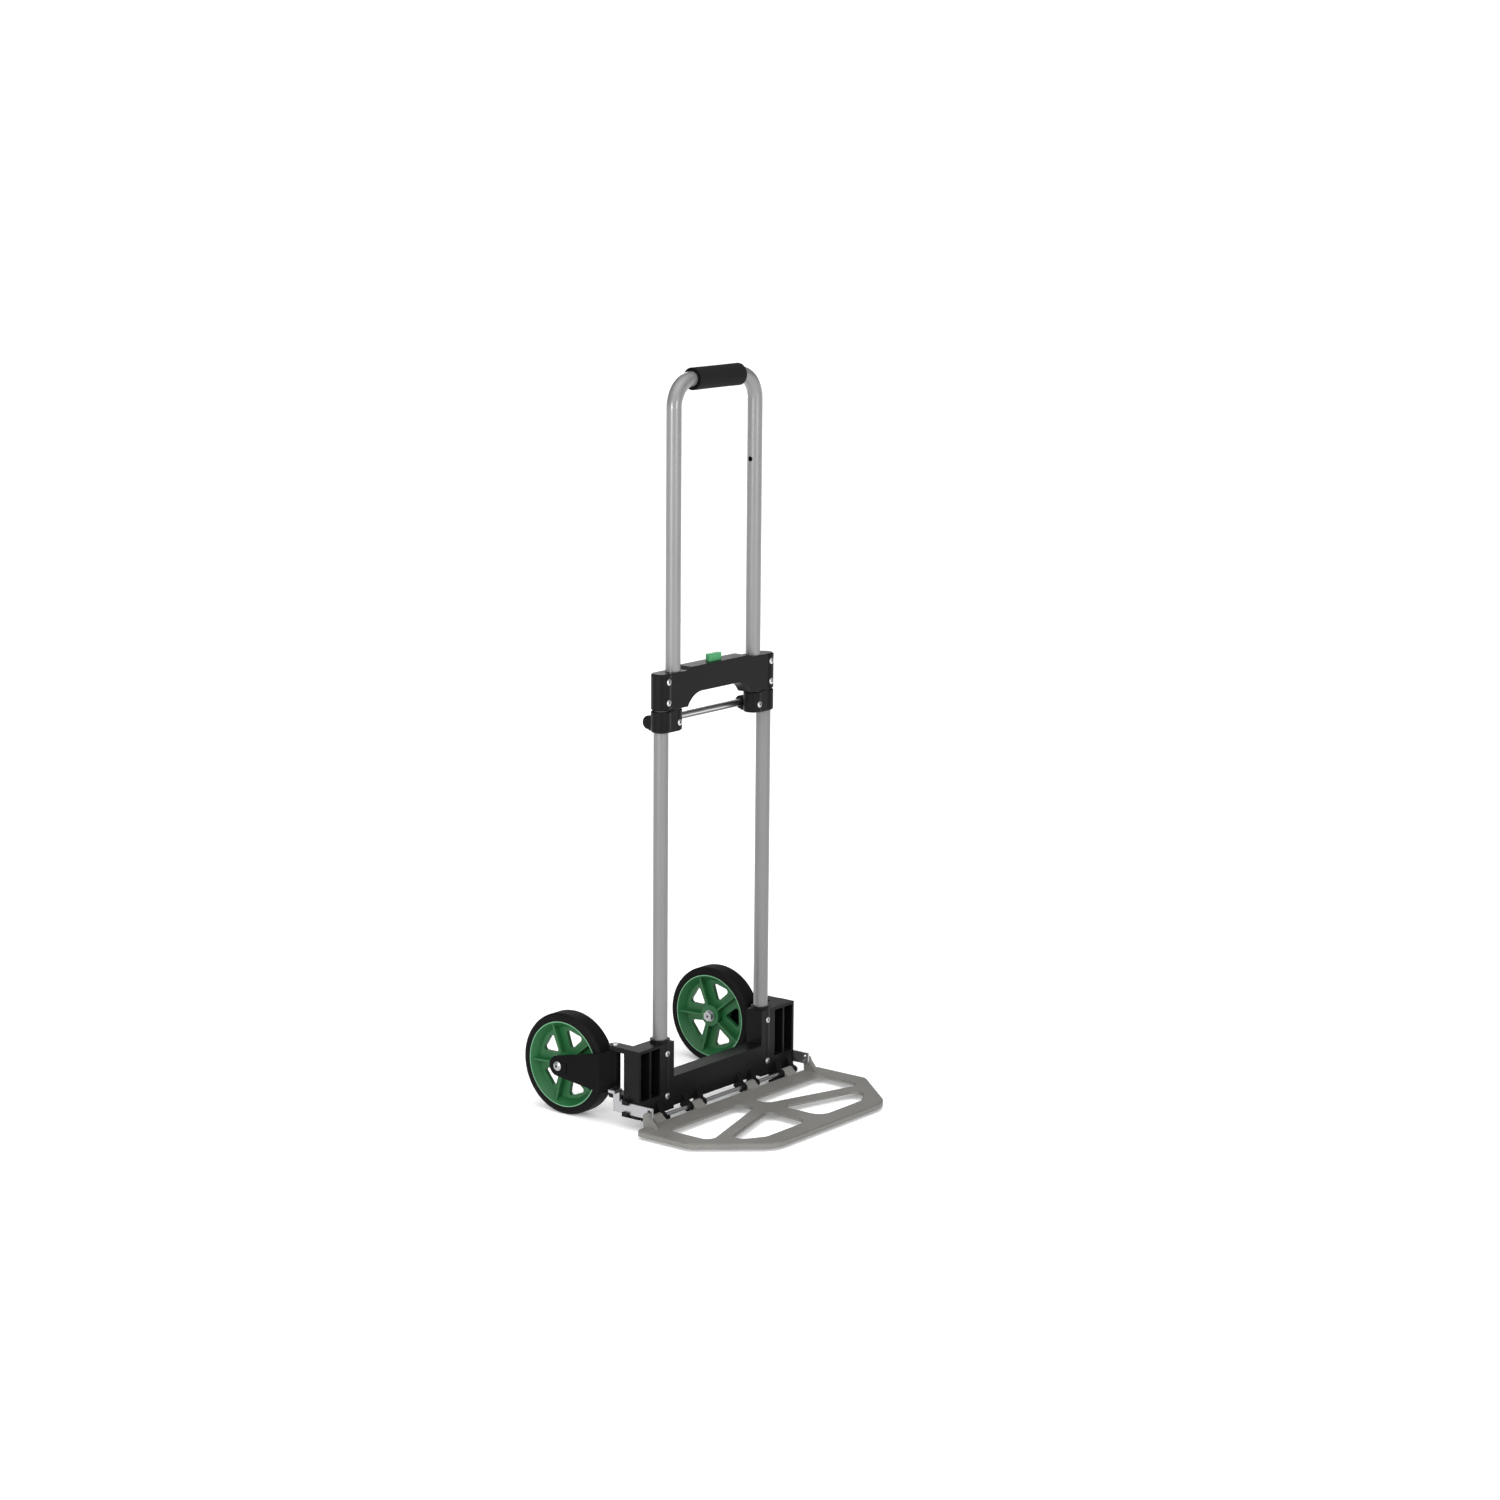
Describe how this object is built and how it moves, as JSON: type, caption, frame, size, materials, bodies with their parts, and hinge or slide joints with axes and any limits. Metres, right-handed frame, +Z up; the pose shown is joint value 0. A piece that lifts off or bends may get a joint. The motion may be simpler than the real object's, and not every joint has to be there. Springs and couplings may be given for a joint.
{
  "type": "folding luggage cart",
  "caption": "Folding luggage cart with a telescopic handle, a hinged slotted toe plate, a push-button lock and wheels that swing in behind the frame as the toe plate folds up.",
  "frame": {"origin": "on the floor, at the middle of the open cart's footprint", "axes": "+X across the cart to the right of someone who faces the load from behind it, -Y over the toe plate, +Z up"},
  "size_m": [0.39, 0.3925, 1],
  "materials": {
    "silver_paint": "satin silver-grey paint",
    "toe_paint": "fine-grained silver-grey powder coat",
    "black_plastic": "moulded, satin",
    "green_plastic": "moulded, satin",
    "steel": "bright zinc plate",
    "tyre_rubber": "smooth satin",
    "foot_rubber": "matt",
    "foam": "matt closed-cell foam"
  },
  "bodies": {
    "frame": {"base_bracket": "black_plastic", "lower_tube_left": "silver_paint", "lower_tube_right": "silver_paint", "bracket_rivets": "steel", "toe_hinge_rod": "steel", "wheel_hinge_pin_left": "steel", "wheel_hinge_pin_right": "steel", "lock_housing": "black_plastic", "housing_cover": "black_plastic", "cover_screws": "steel", "housing_rivets": "steel", "button_spring": "steel", "lock_spring_left": "steel", "lock_spring_right": "steel"},
    "handle": {"handle_tube": "silver_paint", "foam_grip": "foam", "collar_left": "black_plastic", "collar_right": "black_plastic", "collar_rivets": "steel", "cross_rod": "steel"},
    "release_button": {"release_button": "green_plastic"},
    "lock_pin_left": {"lock_pin_left": "steel"},
    "lock_pin_right": {"lock_pin_right": "steel"},
    "toe_plate": {"toe_plate": "toe_paint", "toe_feet": "foot_rubber"},
    "link_left": {"link_left": "steel"},
    "link_right": {"link_right": "steel"},
    "wheel_arm_left": {"wheel_arm_left": "black_plastic", "axle_bolt_left": "steel", "axle_nut_left": "steel", "axle_washers_left": "steel"},
    "wheel_arm_right": {"wheel_arm_right": "black_plastic", "axle_bolt_right": "steel", "axle_nut_right": "steel", "axle_washers_right": "steel"},
    "wheel_left": {"rim_left": "green_plastic", "tyre_left": "tyre_rubber"},
    "wheel_right": {"rim_right": "green_plastic", "tyre_right": "tyre_rubber"}
  },
  "joints": [
    {"name": "handle_slide", "type": "slide", "parent": "frame", "child": "handle", "axis": [0, 0, 1], "range_m": [-0.28, 0]},
    {"name": "button_press", "type": "slide", "parent": "frame", "child": "release_button", "axis": [0, 0, -1], "range_m": [0, 0.005], "stiffness_N_per_m": 400, "springref_m": -0.002, "deforming": ["button_spring"]},
    {"name": "lock_pin_slide_left", "type": "slide", "parent": "frame", "child": "lock_pin_left", "axis": [1, 0, 0], "range_m": [0, 0.005], "deforming": ["lock_spring_left"]},
    {"name": "lock_pin_slide_right", "type": "slide", "parent": "frame", "child": "lock_pin_right", "axis": [-1, 0, 0], "range_m": [0, 0.005], "deforming": ["lock_spring_right"]},
    {"name": "toe_fold", "type": "hinge", "parent": "frame", "child": "toe_plate", "pos_m": [0, -0.01025, 0.014], "axis": [-1, 0, 0], "range_deg": [0, 90]},
    {"name": "link_slide_left", "type": "slide", "parent": "frame", "child": "link_left", "axis": [0, 1, 0], "range_m": [0, 0.02546]},
    {"name": "link_slide_right", "type": "slide", "parent": "frame", "child": "link_right", "axis": [0, 1, 0], "range_m": [0, 0.02546]},
    {"name": "wheel_swing_left", "type": "hinge", "parent": "frame", "child": "wheel_arm_left", "pos_m": [-0.158, 0.04575, 0.0695], "axis": [0, 0, -1], "range_deg": [0, 90]},
    {"name": "wheel_swing_right", "type": "hinge", "parent": "frame", "child": "wheel_arm_right", "pos_m": [0.158, 0.04575, 0.0695], "axis": [0, 0, 1], "range_deg": [0, 90]},
    {"name": "wheel_spin_left", "type": "hinge", "parent": "wheel_arm_left", "child": "wheel_left", "pos_m": [-0.157, 0.12675, 0.0695], "axis": [1, 0, 0], "continuous": true},
    {"name": "wheel_spin_right", "type": "hinge", "parent": "wheel_arm_right", "child": "wheel_right", "pos_m": [0.157, 0.12675, 0.0695], "axis": [1, 0, 0], "continuous": true}
  ],
  "couplings": [
    {"joint": "lock_pin_slide_left", "follows": "button_press", "ratio": 1},
    {"joint": "lock_pin_slide_right", "follows": "button_press", "ratio": 1},
    {"joint": "link_slide_left", "follows": "toe_fold", "m_per_rad": 0.016206},
    {"joint": "link_slide_right", "follows": "toe_fold", "m_per_rad": 0.016206},
    {"joint": "wheel_swing_left", "follows": "toe_fold", "ratio": 1},
    {"joint": "wheel_swing_right", "follows": "toe_fold", "ratio": 1}
  ]
}
